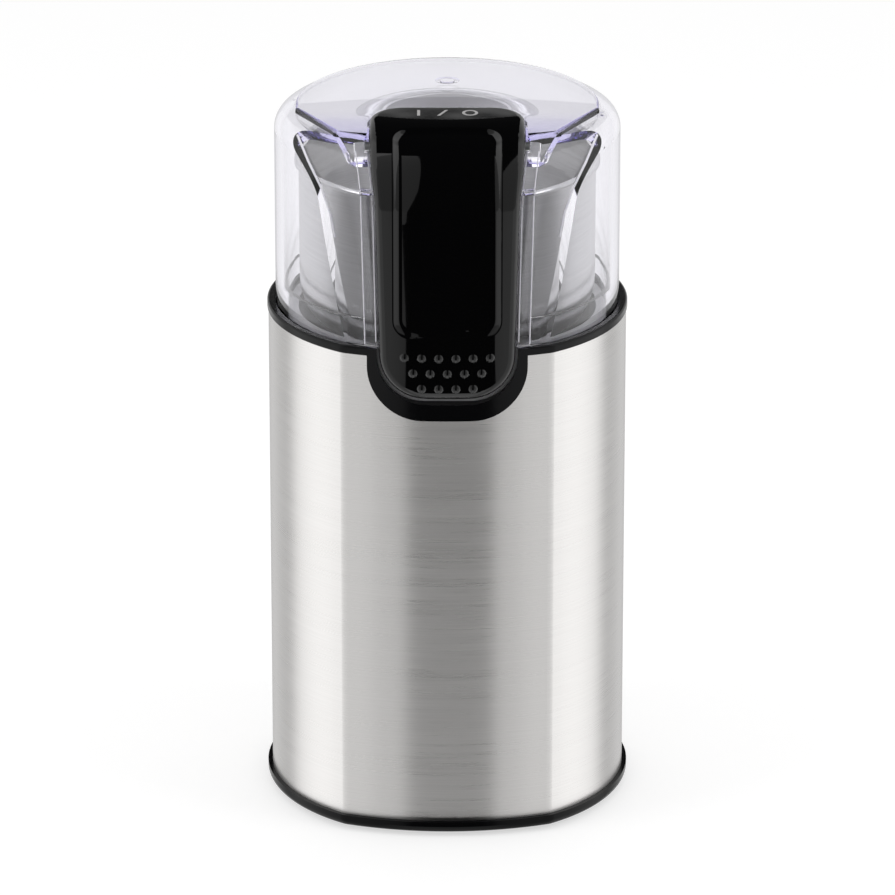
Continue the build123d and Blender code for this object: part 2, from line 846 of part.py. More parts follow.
def lug_slot(x0, x1, gap):
    """Room for a lug of the paddle: round below the pivot and open upwards."""
    width = lug_radius + gap
    rod_part = Pos((x0 + x1) / 2, -pivot_reach, pivot_height) * Rot(Y=90) * Cylinder(width, x1 - x0)
    return rod_part + block(x0, x1, -pivot_reach - width, -pivot_reach + width, pivot_height, paddle_top + 1)


def pivot_rod(side, radius, length):
    """A cylinder along X from the inner face of a lug outwards, on one side."""
    middle = side * (lug_inner() + length / 2)
    return Pos(middle, -pivot_reach, pivot_height) * Rot(Y=90) * Cylinder(radius, length)


def paddle_pin():
    """Two short pins, one on each side, held by the lid's side walls."""
    return [pivot_rod(side, pin_radius - bore_gap, pin_length - pin_end_gap) for side in (-1, 1)]


# Paddle

def paddle_skin(inset):
    """Side view of the paddle's face turned about the front centre: upright, rolled over, flat on top."""
    profile = rolled_profile(paddle_front - inset, 0, paddle_roll - inset, paddle_top - inset, 0)
    return around_front_centre(profile)


def paddle_plan(grow):
    """Plan limit of the paddle's top, with its two rear corners rounded."""
    low = -2 * body_radius
    rear = paddle_rear + grow
    shape = Pos(0, (rear + low) / 2) * Rectangle(2 * (paddle_head_half + grow), rear - low)
    return fillet(shape.vertices().sort_by(Axis.Y)[-2:], paddle_rear_corner + grow)


def paddle_lugs():
    """Two ears under the paddle's head, one each side, that turn on the pins."""
    ear = Pos(pivot_reach, pivot_height) * Circle(lug_radius)
    arm_height = paddle_top - pivot_height
    arm = Pos(pivot_reach, pivot_height + arm_height / 2) * Rectangle(2 * lug_radius, arm_height)
    lugs = []
    for x0, x1 in side_ranges(lug_inner(), lug_inner() + lug_thickness):
        side_plane = Plane(origin=(x0, 0, 0), x_dir=(0, -1, 0), z_dir=(-1, 0, 0))
        lugs.append(extrude(side_plane * (ear + arm), x0 - x1) & paddle_skin(paddle_thickness / 2))
    return lugs


def dot_places():
    """The press dots: each row one shorter than the row above."""
    places = []
    for row in range(dot_rows):
        count = dot_top_row - row
        for i in range(count):
            x = (i - (count - 1) / 2) * dot_pitch
            places.append((x, dot_top_height - row * dot_row_pitch))
    return places


def dot_domes():
    """Small domes that stand on the paddle's curved face."""
    sphere = (dot_radius ** 2 + dot_rise ** 2) / (2 * dot_rise)
    face = front_centre + paddle_front
    domes = []
    for x, z in dot_places():
        y = front_centre - math.sqrt(face ** 2 - x ** 2)
        domes.append(Pos(x, y + sphere - dot_rise, z) * Sphere(sphere))
    keep = front_shell(paddle_front - dot_root, paddle_front + 5, 0, paddle_top)
    return [dome & keep for dome in domes]


def scoop():
    """The shallow hollow down the face and over the roll, with a rounded floor edge."""
    high = paddle_top + beyond
    far = 2 * body_radius
    front = Pos(0, (scoop_foot + high) / 2) * Rectangle(2 * scoop_half_width, high - scoop_foot)
    front = fillet(front.vertices().sort_by(Axis.Y)[:2], scoop_corner)
    plan = Pos(0, -(scoop_end + far) / 2) * Rectangle(2 * scoop_half_width, far - scoop_end)
    plan = fillet(plan.vertices().sort_by(Axis.Y)[-2:], scoop_corner)
    hollow = (forward(front, scoop_end - beyond, far) & prism(plan, 0, high)) - paddle_skin(scoop_depth)
    reach = paddle_front - scoop_depth
    radius = paddle_roll - scoop_depth
    top = paddle_top - scoop_depth
    floor_edges = hollow.edges().filter_by(lambda edge: on_rolled_face(edge, reach, radius, top))
    return fillet(floor_edges, scoop_floor_round)


def paddle():
    outline = paddle_outline(0, 0, paddle_top + beyond)
    body = paddle_skin(0) & forward(outline, -paddle_rear, 2 * body_radius)
    body &= prism(paddle_plan(0), 0, paddle_top + beyond)
    body = fillet(body.edges().filter_by(on_paddle_face), paddle_edge_round)
    body -= scoop()
    body = fillet(body.edges().filter_by(on_scoop_border), scoop_edge_round)
    body -= paddle_skin(paddle_thickness)
    for piece in paddle_lugs() + dot_domes():
        body += piece
    for side in (-1, 1):
        body -= pivot_rod(side, pin_radius + slide_gap, 2 * pin_length)
    return body


def on_paddle_face(edge):
    """Whether an edge lies on the outside of the paddle's face, roll or top."""
    return on_rolled_face(edge, paddle_front, paddle_roll, paddle_top)


def on_scoop_border(edge):
    """Whether an edge lies on the paddle's face within reach of the scoop's outline."""
    box = edge.bounding_box()
    inside = max(-box.min.X, box.max.X) < scoop_half_width + near and box.max.Y < -scoop_end + near
    return inside and box.min.Z > scoop_foot - near and on_paddle_face(edge)


# Switch

def switch_plunger():
    flange_front = -cup_radius + plunger_wall_gap
    flange_back = flange_front + plunger_flange
    stem = rod(plunger_radius, -paddle_back + plunger_gap, flange_front, 0, plunger_height)
    stem = fillet(stem.edges().group_by(Axis.Y)[0], plunger_round)
    flange = rod(plunger_flange_radius, flange_front, flange_back, 0, plunger_height)
    tail = rod(plunger_tail_radius, flange_back, -button_tip - touch_gap, 0, plunger_height)
    return stem + flange + tail


def plunger_spring():
    start = -cup_radius + plunger_wall_gap + plunger_flange
    coil = helix_spring(spring_radius, spring_wire, spring_length, spring_turns)
    return Pos(0, start, plunger_height) * Rot(X=-90) * coil


def button_pocket(gap, depth):
    half_x = switch_button_half + gap
    half_z = switch_button_height + gap
    return block(-half_x, half_x, -button_tip, -switch_front + depth,
                 plunger_height - half_z, plunger_height + half_z)


def micro_switch():
    left = switch_offset - switch_width / 2
    body = block(left, left + switch_width, -switch_front, -switch_front + switch_depth,
                 switch_bottom, switch_bottom + switch_thickness)
    body = fillet(body.edges() | Axis.Z, switch_corner)
    body -= button_pocket(slide_gap, 2 * press_travel + 2 * press_spare)
    for x, y in switch_screw_places():
        body -= disc(small_screw + fit_gap, 0, 2 * switch_bottom, x, y)
    return body


def switch_screw_places():
    reach = switch_width / 2 - switch_screw_edge
    y = -switch_front + switch_depth - switch_screw_edge
    return [(switch_offset - reach, y), (switch_offset + reach, y)]


def switch_screws():
    top = switch_bottom + switch_thickness
    return [disc(small_screw, switch_bottom, top, x, y) for x, y in switch_screw_places()]


def switch_button():
    return button_pocket(0, press_travel + press_spare)


def switch_terminals():
    y = -switch_front + switch_depth / 2
    tabs = []
    for i in (-1, 0, 1):
        x = switch_offset + i * terminal_pitch
        tabs.append(block(x - terminal_width / 2, x + terminal_width / 2, y - terminal_sheet / 2,
                          y + terminal_sheet / 2, switch_bottom - terminal_drop, switch_bottom))
    return tabs


# Motor

def stator_plan():
    """One sheet of the stator: outer yoke, two poles with curved shoes, and the windows for the coils."""
    plan = fillet(Rectangle(core_width, core_depth).vertices(), core_corner)
    window_x = core_width / 2 - yoke_side
    window_y = core_depth / 2 - yoke_end
    window = Pos((window_x + pole_half) / 2, 0) * Rectangle(window_x - pole_half, 2 * window_y)
    plan -= window
    plan -= mirror(window, Plane.YZ)
    shoes = Circle(core_bore + pole_shoe) - Rectangle(4 * core_bore, pole_half)
    plan += shoes
    plan -= Circle(core_bore)
    for x, y in bolt_places():
        plan -= Pos(x, y) * Circle(bolt_radius + fit_gap)
    return plan


def bolt_places():
    return [(sx * bolt_x, sy * bolt_y) for sx in (-1, 1) for sy in (-1, 1)]


def stator_core():
    return prism(stator_plan(), core_foot, core_top)


def field_coils():
    """Two coils, one round each pole, standing out above and below the core."""
    coils = []
    inner_x = pole_half + coil_gap
    inner_z = core_length / 2 + coil_gap
    outer = Rectangle(2 * (inner_x + coil_width), 2 * (inner_z + coil_height))
    inner = Rectangle(2 * inner_x, 2 * inner_z)
    ring = fillet(outer.vertices(), coil_corner) - fillet(inner.vertices(), coil_gap)
    start = core_depth / 2 - yoke_end - coil_gap - coil_depth
    for side in (-1, 1):
        coil = forward(Pos(0, (core_foot + core_top) / 2) * ring, start, start + coil_depth)
        coils.append(mirror(coil, Plane.XZ) if side > 0 else coil)
    return coils


def armature_core():
    """Slotted core of the rotor."""
    radius = core_bore - armature_gap
    plan = Circle(radius) - Circle(shaft_radius + bore_gap)
    for i in range(armature_slots):
        turn = Rot(Z=360 / armature_slots * i)
        plan -= turn * Pos(slot_circle, 0) * Circle(slot_radius)
        plan -= turn * Pos(radius, 0) * Rectangle(2 * (radius - slot_circle), slot_mouth)
    return prism(plan, core_foot, core_top)


def armature_windings():
    """Wound heads at each end, joined by the wire that lies in the slots."""
    inner = shaft_radius + winding_gap
    low_end = tube(winding_radius, inner, core_foot - winding_height, core_foot)
    high_end = tube(winding_radius, inner, core_top, core_top + winding_height)
    body = fillet(low_end.edges(), winding_round) + fillet(high_end.edges(), winding_round)
    wire = disc(slot_radius - slot_fill_gap, core_foot - 2, core_top + 2, slot_circle, 0)
    for i in range(armature_slots):
        body += Rot(Z=360 / armature_slots * i) * wire
    return body


def commutator():
    top = commutator_foot + commutator_length
    body = disc(commutator_radius, commutator_foot, top)
    body += disc(commutator_radius + riser_out, top - riser_height, top)
    slit = block(commutator_radius - bar_depth, commutator_radius + 2 * riser_out, -bar_slit / 2, bar_slit / 2,
                 commutator_foot - 1, top + 1)
    for i in range(commutator_bars):
        body -= Rot(Z=360 / commutator_bars * (i + 0.5)) * slit
    return body - disc(shaft_radius + bore_gap, 0, top + 1)


def motor_shaft():
    return disc(shaft_radius, shaft_foot, shaft_top)


def bracket(plate_low, plate_high, post_low, post_high, hub_low, hub_high):
    """End bracket: a plate with four posts to the core, a hub for its bush, and openings for the air."""
    body = prism(fillet(Rectangle(core_width, core_depth).vertices(), core_corner), plate_low, plate_high)
    for side in (-1, 1):
        opening = Pos(side * air_slot_x, 0) * SlotOverall(air_slot_length, air_slot_width, rotation=90)
        body -= prism(opening, plate_low - 1, plate_high + 1)
    for x, y in bolt_places():
        body += disc(bracket_post, post_low, post_high, x, y)
    body += disc(bracket_hub, hub_low, hub_high)
    body -= disc(bush_radius + bore_gap, hub_low - 1, hub_high + 1)
    for x, y in bolt_places():
        body -= disc(bolt_radius + fit_gap, min(plate_low, post_low) - 1, max(plate_high, post_high) + 1, x, y)
    return body


def upper_bracket():
    low = upper_bracket_foot
    high = upper_bracket_top
    body = bracket(low, high, core_top, low, upper_bush_foot, upper_bush_foot + bush_length + hub_lap)
    for x, y in post_places(mount_circle, post_turn):
        body -= disc(screw_radius + screw_hole_gap, low - 1, high + 1, x, y)
    return body


def lower_bracket():
    high = lower_bracket_top
    low = high - bracket_thickness
    body = bracket(low, high, high, core_foot, lower_bush_foot - hub_lap, lower_bush_foot + bush_length)
    pad = brush_mid - brush_height / 2 - holder_wall - brush_gap
    for x in (-holder_reach + holder_wall, pad_start):
        body += block(x, x + holder_reach - holder_wall - pad_start, -pad_half, pad_half, low, pad)
    return body


def upper_bush():
    return tube(bush_radius, shaft_radius + shaft_gap, upper_bush_foot, upper_bush_foot + bush_length)


def lower_bush():
    return tube(bush_radius, shaft_radius + shaft_gap, lower_bush_foot, lower_bush_foot + bush_length)


def motor_bolts():
    """Long bolts that clamp the two brackets to the core."""
    low = lower_bracket_top - bracket_thickness
    high = upper_bracket_top
    bolts = []
    for x, y in bolt_places():
        head = disc(bolt_radius + bolt_head_out, low - bolt_head, low, x, y)
        bolts.append(disc(bolt_radius, low, high, x, y) + head)
    return bolts


def motor_dampers():
    low = upper_bracket_top
    return [tube(mount_radius, screw_radius + screw_hole_gap, low, low + damper_height, x, y)
            for x, y in post_places(mount_circle, post_turn)]


def mount_screws():
    head = upper_bracket_foot
    tip = deck_bottom - mount_tip_gap
    return [round_screw(x, y, head - screw_head, head, tip, screw_radius, screw_head_radius)
            for x, y in post_places(mount_circle, post_turn)]


def along_x(side, start, end, half_y, half_z):
    """A box along X on one side of the axis, level with the brushes."""
    x0, x1 = sorted((side * start, side * end))
    return block(x0, x1, -half_y, half_y, brush_mid - half_z, brush_mid + half_z)


def carbon_brushes():
    start = commutator_radius + touch_gap
    return [along_x(side, start, start + brush_length, brush_width / 2, brush_height / 2) for side in (-1, 1)]


def brush_holders():
    holders = []
    for side in (-1, 1):
        outer = along_x(side, holder_start, holder_reach, brush_width / 2 + brush_gap + holder_wall,
                        brush_height / 2 + brush_gap + holder_wall)
        inner = along_x(side, holder_start - 1, holder_reach - holder_wall, brush_width / 2 + brush_gap,
                        brush_height / 2 + brush_gap)
        holders.append(outer - inner)
    return holders


def brush_springs():
    start = commutator_radius + touch_gap + brush_length
    length = holder_reach - holder_wall - start
    coil = helix_spring(brush_spring_radius, spring_wire, length, brush_spring_turns)
    right = Pos(start, 0, brush_mid) * Rot(Y=90) * coil
    return [right, mirror(right, Plane.YZ)]


def cooling_fan():
    """Radial fan on the lower end of the shaft."""
    top = fan_foot + fan_height
    body = disc(fan_radius, fan_foot, fan_foot + fan_disc) + disc(fan_hub, fan_foot, top + fan_hub_rise)
    vane = block(fan_hub - 1, fan_radius - fan_edge_gap, -fan_blade_wall / 2, fan_blade_wall / 2, fan_foot, top)
    swept = Pos(0, fan_hub / 2, 0) * Rot(Z=-fan_sweep) * vane
    for i in range(fan_blades):
        body += Rot(Z=360 / fan_blades * i) * swept
    body &= disc(fan_radius, 0, 2 * top)
    return body - disc(shaft_radius + bore_gap, 0, 2 * top)


def thrust_washers():
    """Washers between the turning parts and the two bushes."""
    under = washer_gap + washer_thickness
    levels = (lower_bush_foot - under, lower_bush_foot + bush_length + washer_gap, upper_bush_foot - under)
    return [tube(washer_radius, shaft_radius + bore_gap, z, z + washer_thickness) for z in levels]


# Blade

def blade_hub():
    hub = disc(hub_radius, hub_foot, blade_foot)
    hub = fillet(hub.edges().group_by(Axis.Z)[-1], hub_round)
    return hub - disc(shaft_radius + bore_gap, 0, shaft_top)


def wing_section(reach, width, rise, twist):
    """Cross-section of a wing at a distance from the shaft, with a ground leading edge."""
    half = width / 2
    ground = half - edge_width
    outline = Polyline((-half, 0), (half, 0), (half, edge_sheet), (ground, blade_sheet), (-half, blade_sheet),
                       (-half, 0))
    plane = Plane(origin=(reach, 0, blade_foot + rise), x_dir=(0, 1, 0), z_dir=(1, 0, 0))
    return plane * Rot(Z=twist) * make_face(outline)


def wing():
    """One wing of the blade: flat at the hub, then twisted and turned up towards the tip."""
    flat = loft([wing_section(0, blade_width, 0, 0), wing_section(blade_flat, blade_width, 0, 0)])
    sections = []
    for i in range(blade_sections):
        share = i / (blade_sections - 1)
        reach = blade_flat + share * (blade_reach - blade_flat)
        width = blade_width - blade_taper * share ** 2
        sections.append(wing_section(reach, width, blade_tip_rise * share ** 1.5, blade_tip_twist * share))
    return flat + loft(sections, ruled=True)


def blade():
    one = wing()
    body = one + Rot(Z=180) * one
    return body - disc(shaft_radius + bore_gap, 0, 2 * blade_foot)


def blade_cap():
    low = blade_foot + blade_sheet
    cap = disc(cap_radius, low, low + cap_height)
    cap = fillet(cap.edges().group_by(Axis.Z)[-1], cap_round)
    return cap - disc(shaft_radius + bore_gap, 0, shaft_top)


PARTS = {
    "steel_sleeve": steel_sleeve,
    "housing": housing,
    "base_cover": base_cover,
    "rubber_feet": rubber_feet,
    "cord_inlet": cord_inlet,
    "base_screws": base_screws,
    "grinding_bowl": grinding_bowl,
    "bowl_gasket": bowl_gasket,
    "clamp_bush": clamp_bush,
    "clamp_nut": clamp_nut,
    "shaft_seal": shaft_seal,
    "lid": lid,
    "paddle_pin": paddle_pin,
    "paddle": paddle,
    "switch_plunger": switch_plunger,
    "plunger_spring": plunger_spring,
    "micro_switch": micro_switch,
    "switch_button": switch_button,
    "switch_terminals": switch_terminals,
    "switch_screws": switch_screws,
    "stator_core": stator_core,
    "field_coils": field_coils,
    "armature_core": armature_core,
    "armature_windings": armature_windings,
    "commutator": commutator,
    "motor_shaft": motor_shaft,
    "upper_bracket": upper_bracket,
    "lower_bracket": lower_bracket,
    "upper_bush": upper_bush,
    "lower_bush": lower_bush,
    "motor_bolts": motor_bolts,
    "motor_dampers": motor_dampers,
    "mount_screws": mount_screws,
    "carbon_brushes": carbon_brushes,
    "brush_holders": brush_holders,
    "brush_springs": brush_springs,
    "cooling_fan": cooling_fan,
    "thrust_washers": thrust_washers,
    "blade_hub": blade_hub,
    "blade": blade,
    "blade_cap": blade_cap,
}


def solids_of(shape):
    """All the solids in a shape or a list of shapes."""
    pieces = shape if isinstance(shape, list) else [shape]
    return [solid for piece in pieces for solid in piece.solids()]


os.makedirs("parts", exist_ok=True)
for name, make in PARTS.items():
    solids = solids_of(make())
    export_step(Compound(children=solids) if len(solids) > 1 else solids[0], f"parts/{name}.step")
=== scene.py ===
import math

import bpy
from mathutils import Matrix, Vector
from mathutils.bvhtree import BVHTree

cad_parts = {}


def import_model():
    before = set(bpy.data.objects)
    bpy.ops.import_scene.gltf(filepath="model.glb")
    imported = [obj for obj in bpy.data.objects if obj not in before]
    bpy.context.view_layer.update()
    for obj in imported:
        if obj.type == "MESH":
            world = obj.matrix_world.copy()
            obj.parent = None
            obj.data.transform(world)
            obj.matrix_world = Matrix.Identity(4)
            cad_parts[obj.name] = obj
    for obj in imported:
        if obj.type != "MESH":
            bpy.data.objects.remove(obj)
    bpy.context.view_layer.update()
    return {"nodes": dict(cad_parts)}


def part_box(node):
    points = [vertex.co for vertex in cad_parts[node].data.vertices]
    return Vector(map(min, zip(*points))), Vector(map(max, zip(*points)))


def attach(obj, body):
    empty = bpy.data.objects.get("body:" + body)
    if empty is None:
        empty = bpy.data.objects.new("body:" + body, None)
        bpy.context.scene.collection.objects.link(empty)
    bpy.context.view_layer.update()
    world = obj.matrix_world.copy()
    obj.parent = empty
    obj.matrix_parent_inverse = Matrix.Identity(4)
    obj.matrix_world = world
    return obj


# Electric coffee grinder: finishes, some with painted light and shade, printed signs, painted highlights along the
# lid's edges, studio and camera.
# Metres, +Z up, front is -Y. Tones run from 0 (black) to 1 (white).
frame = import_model()

# Camera, as found from the picture's round edges
image_pixels = 895
focal_pixels = 6710
sensor_width = 36.0
camera_elevation = 20.73
camera_distance = 1.76
aim_height = 0.090
optical_axis_x = 447.3
optical_axis_y = 454.8
nearest_seen = 0.1
farthest_seen = 20

# Bowl: how far its lip stands out and how thick its sheet is
bowl_lip = 0.001
bowl_sheet = 0.0007

# Well round the bowl, under the lid, painted pale: painted light for the clear walls above it
well_radius = 0.0445
well_front = 0.0405
well_floor = 0.1085
well_painted_light_tone = (0.5, 0.5, 0.51)

# Printed signs on top of the paddle
sign_y = -0.0185
sign_height = 0.0046
sign_stroke = 0.00075
sign_ink = 0.00003
bar_x = -0.0073
slash_x = -0.0012
slash_lean = 0.22 * sign_height
ring_x = 0.0058
ring_width = 0.0041
ring_steps = 48

# Painted highlights: thin pale tubes along moulded edges of the lid's left half, mirrored on the right, in place of
# the light
# those edges catch: radius in metres, and the course in the picture, in pixels from its top left corner
highlight_lines = {
    "rib_outer_highlight": (0.0002, [(360.7, 196), (365.0, 344)]),
    "rib_inner_highlight": (0.0002, [(372.5, 196), (376.0, 342)]),
    "window_outer_highlight": (0.00017, [(355.5, 151), (360.7, 194)]),
    "window_inner_highlight": (0.00017, [(367.5, 152), (372.0, 192)]),
    "cheek_highlight": (0.00033, [(297.5, 135), (308.7, 162), (322.5, 190), (331, 215), (335, 237)]),
}
edge_step = 12.0
edge_sides = 8

# Tones of the finishes
steel_tone = (0.712, 0.70, 0.688)
# The bowl's two tones are painted light and shade on one steel: lighter inside, darker outside
bowl_inside_painted_light_tone = (0.85, 0.85, 0.85)
bowl_outside_painted_shade_tone = (0.62, 0.62, 0.625)
paddle_tone = (0.001, 0.001, 0.0012)
trim_tone = (0.003, 0.003, 0.0035)
lid_tone = (0.985, 0.983, 0.992)
lid_depth_tone = (0.62, 0.58, 0.9)
lid_depth_density = 18.0
lid_index = 1.54
ink_tones = (0.42, 0.41, 0.41), (0.36, 0.355, 0.355), (0.46, 0.45, 0.45)
# Pale tones of the painted highlights along the lid's edges
highlight_tones = (0.9, 0.89, 0.96), (0.82, 0.81, 0.9), (0.95, 0.94, 0.99)

# Where the darker and the lighter shade of a finish lie in its noise
dark_end = 0.35
light_end = 0.65

# Studio rings: brightness of the surroundings by angle from the front in degrees, below eye level, above it, and as
# the steel under the lid sees them
low_ring = [(0, 0.45), (14, 0.45), (20, 0.7), (34, 1.08), (62, 1.12), (69, 1.3), (78, 1.62), (94, 1.7), (112, 1.5),
            (124, 0.7), (152, 0.95), (180, 1.0)]
high_ring = [(0, 0.4), (40, 0.6), (58, 0.7), (62, 1.5), (118, 1.5), (130, 0.9), (180, 0.9)]
bowl_ring = [(0, 0.33), (88, 0.36), (104, 1.25), (150, 1.25), (180, 1.0)]
bowl_sky = 1.3
ring_limit = 2.0

# Dark slot in front, between two sideways limits. Its left limit moves in with height, and it ends low down, where a
# bright strip takes over within an angle from the front. Limits here and below are parts of a unit direction.
dark_tone = 0.02
slot_left = -0.26
slot_right = 0.30
slot_narrowing = 0.14
slot_low = -0.52
under_reach = 26.0
under_tone = 1.6

# Dark wall overhead and behind, with a pale board standing at its foot
wall_front = -0.1
wall_half = 0.3
board_top = 0.307
board_fade = 0.004
board_tone = 0.75

# Light that isn't reflected: from all round onto matt surfaces, and the plain white that the camera sees
soft_strength = 0.75
white_strength = 1.0

# Lamps: place, size and power
lamp_boxes = {
    "left_box": ((-0.9, -0.35, 0.7), (0.5, 0.9), 2.6),
    "right_box": ((0.9, -0.35, 0.7), (0.5, 0.9), 2.6),
    "top_box": ((0.0, 0.2, 1.2), (0.9, 0.7), 2.2),
}
lamp_aim = Vector((0, 0, 0.1))

# Floor
floor_size = 8
floor_tone = 0.5
floor_glow = 0.6

# How often a ray may turn inside the clear lid
light_bounces = 40


# Node helpers

class Nodes:
    """A material's or world's node tree, with short calls to add and link nodes."""

    def __init__(self, tree, keep=False):
        self.tree = tree
        if not keep:
            tree.nodes.clear()

    def add(self, kind, **values):
        node = self.tree.nodes.new(kind)
        for key, value in values.items():
            if hasattr(node, key):
                setattr(node, key, value)
            else:
                node.inputs[key.replace("_", " ")].default_value = value
        return node

    def link(self, source, target):
        self.tree.links.new(source, target)

    def feed(self, value, socket):
        """Sets a socket to a number, or links an output to it."""
        if isinstance(value, (int, float)):
            socket.default_value = value
        else:
            self.link(value, socket)

    def math(self, operation, first, second=None):
        node = self.add("ShaderNodeMath", operation=operation)
        self.feed(first, node.inputs[0])
        if second is not None:
            self.feed(second, node.inputs[1])
        return node.outputs[0]

    def clamped(self, value):
        """A number held between 0 and 1."""
        return self.math("MAXIMUM", self.math("MINIMUM", value, 1.0), 0.0)

    def mix(self, factor, first, second):
        """One number where factor is 0, another where it is 1."""
        node = self.add("ShaderNodeMix", data_type="FLOAT")
        for value, socket in zip((factor, first, second), (0, 2, 3)):
            self.feed(value, node.inputs[socket])
        return node.outputs[0]

    def blend(self, factor, first, second):
        """One colour where factor is 0, another where it is 1."""
        node = self.add("ShaderNodeMix", data_type="RGBA")
        for value, socket in zip((factor, first, second), (0, 6, 7)):
            self.link(value, node.inputs[socket])
        return node.outputs[2]

    def ramp(self, factor, stops):
        """A grey or coloured ramp over 0 to 1."""
        node = self.add("ShaderNodeValToRGB")
        elements = node.color_ramp.elements
        while len(elements) < len(stops):
            elements.new(0.5)
        for element, (place, tone) in zip(elements, stops):
            element.position = place
            element.color = (*tone, 1) if isinstance(tone, tuple) else (tone, tone, tone, 1)
        self.link(factor, node.inputs[0])
        return node.outputs[0]

    def place(self):
        """X, Y and Z in the model's own coordinates."""
        split = self.add("ShaderNodeSeparateXYZ")
        self.link(self.add("ShaderNodeTexCoord").outputs["Object"], split.inputs[0])
        return [split.outputs[axis] for axis in "XYZ"]

    def radius_squared(self, x, y):
        return self.math("ADD", self.math("MULTIPLY", x, x), self.math("MULTIPLY", y, y))

    def coordinates(self, scale):
        """Object coordinates, stretched by a scale along each axis."""
        source = self.add("ShaderNodeTexCoord")
        mapping = self.add("ShaderNodeMapping")
        mapping.inputs["Scale"].default_value = scale
        self.link(source.outputs["Object"], mapping.inputs["Vector"])
        return mapping.outputs["Vector"]

    def noise(self, scale, detail, stretch=(1, 1, 1)):
        node = self.add("ShaderNodeTexNoise")
        node.inputs["Scale"].default_value = scale
        node.inputs["Detail"].default_value = detail
        self.link(self.coordinates(stretch), node.inputs["Vector"])
        return node.outputs["Fac"]

    def bump(self, height, strength, distance):
        node = self.add("ShaderNodeBump")
        node.inputs["Strength"].default_value = strength
        node.inputs["Distance"].default_value = distance
        self.link(height, node.inputs["Height"])
        return node.outputs["Normal"]


def surface(name, tone, roughness, metallic=0.0, specular=0.5, ior=1.5):
    """A material with one surface shader; returns the material, its nodes and the shader."""
    material = bpy.data.materials.new(name)
    material.use_nodes = True
    nodes = Nodes(material.node_tree)
    shader = nodes.add("ShaderNodeBsdfPrincipled")
    shader.inputs["Base Color"].default_value = (*tone, 1)
    shader.inputs["Roughness"].default_value = roughness
    shader.inputs["Metallic"].default_value = metallic
    shader.inputs["Specular IOR Level"].default_value = specular
    shader.inputs["IOR"].default_value = ior
    output = nodes.add("ShaderNodeOutputMaterial")
    nodes.link(shader.outputs[0], output.inputs["Surface"])
    return material, nodes, shader


def shades(tone, change):
    """Ramp stops from a darker to a lighter shade of a tone."""
    dark = tuple(c * (1 - change) for c in tone)
    light = tuple(min(1.0, c * (1 + change)) for c in tone)
    return [(dark_end, dark), (light_end, light)]


# Materials

def brushed_steel(name, tone, roughness, lines, anisotropic, wear):
    """Steel with fine scratches that run round the Z axis and stretch reflections up and down."""
    material, nodes, shader = surface(name, tone, roughness, metallic=1.0)
    shader.inputs["Anisotropic"].default_value = anisotropic
    shader.inputs["Anisotropic Rotation"].default_value = 0.25
    tangent = nodes.add("ShaderNodeTangent", direction_type="RADIAL", axis="Z")
    nodes.link(tangent.outputs[0], shader.inputs["Tangent"])
    fine = nodes.noise(1.0, detail=2.0, stretch=(40, 40, lines))
    broad = nodes.noise(1.0, detail=3.0, stretch=(14, 14, lines / 12))
    fine_share = 0.7
    both = nodes.math("ADD", nodes.math("MULTIPLY", fine, fine_share),
                      nodes.math("MULTIPLY", broad, 1 - fine_share))
    nodes.link(nodes.ramp(both, shades(tone, wear)), shader.inputs["Base Color"])
    nodes.link(nodes.ramp(both, [(0.3, roughness * 0.85), (0.7, roughness * 1.15)]), shader.inputs["Roughness"])
    nodes.link(nodes.bump(fine, strength=0.12, distance=0.00004), shader.inputs["Normal"])
    return material


def spun_bowl_painted_light_and_shade(name, inside, outside, satin, polish, wall):
    """Sheet steel bowl: polished and painted lighter inside its wall radius, satin and painted darker outside, a lit
    and a shaded copy of one steel.
    """
    material, nodes, shader = surface(name, inside, polish, metallic=1.0)
    x, y, _ = nodes.place()
    outer = nodes.math("GREATER_THAN", nodes.radius_squared(x, y), wall * wall)
    marks = nodes.noise(1.0, detail=2.0, stretch=(40, 40, 2600))
    sides = [nodes.ramp(marks, shades(tone, 0.05)) for tone in (inside, outside)]
    # Painted light and shade: lighter steel inside the wall radius, darker outside
    nodes.link(nodes.blend(outer, *sides), shader.inputs["Base Color"])
    nodes.link(nodes.mix(outer, polish, satin), shader.inputs["Roughness"])
    nodes.link(nodes.bump(marks, strength=0.1, distance=0.00003), shader.inputs["Normal"])
    return material


def plain_metal(name, tone, roughness, patch, scale=500.0):
    """Turned, plated or sintered metal with slight patches."""
    material, nodes, shader = surface(name, tone, roughness, metallic=1.0)
    patches = nodes.noise(scale, detail=4.0)
    nodes.link(nodes.ramp(patches, shades(tone, patch)), shader.inputs["Base Color"])
    nodes.link(nodes.ramp(patches, [(0.3, roughness * 0.8), (0.7, roughness * 1.2)]), shader.inputs["Roughness"])
    nodes.link(nodes.bump(patches, strength=0.1, distance=0.00005), shader.inputs["Normal"])
    return material


def layered(name, tone, roughness, metallic, layer):
    """Stacked sheets or wound wire: fine even layers up the Z axis, each as thick as layer, with painted shade in
    the grooves between them.
    """
    material, nodes, shader = surface(name, tone, roughness, metallic=metallic)
    wave = nodes.add("ShaderNodeTexWave", wave_type="BANDS", bands_direction="Z")
    wave.inputs["Scale"].default_value = 1.0
    wave.inputs["Distortion"].default_value = 0.4
    scale = math.pi / layer / 10
    nodes.link(nodes.coordinates((scale, scale, scale)), wave.inputs["Vector"])
    # Painted shade: the grooves between layers are darker
    painted_groove_shade = tuple(c * 0.6 for c in tone)
    nodes.link(nodes.ramp(wave.outputs["Fac"], [(0.0, painted_groove_shade), (0.5, tone)]), shader.inputs["Base Color"])
    nodes.link(nodes.bump(wave.outputs["Fac"], strength=0.4, distance=0.0001), shader.inputs["Normal"])
    return material


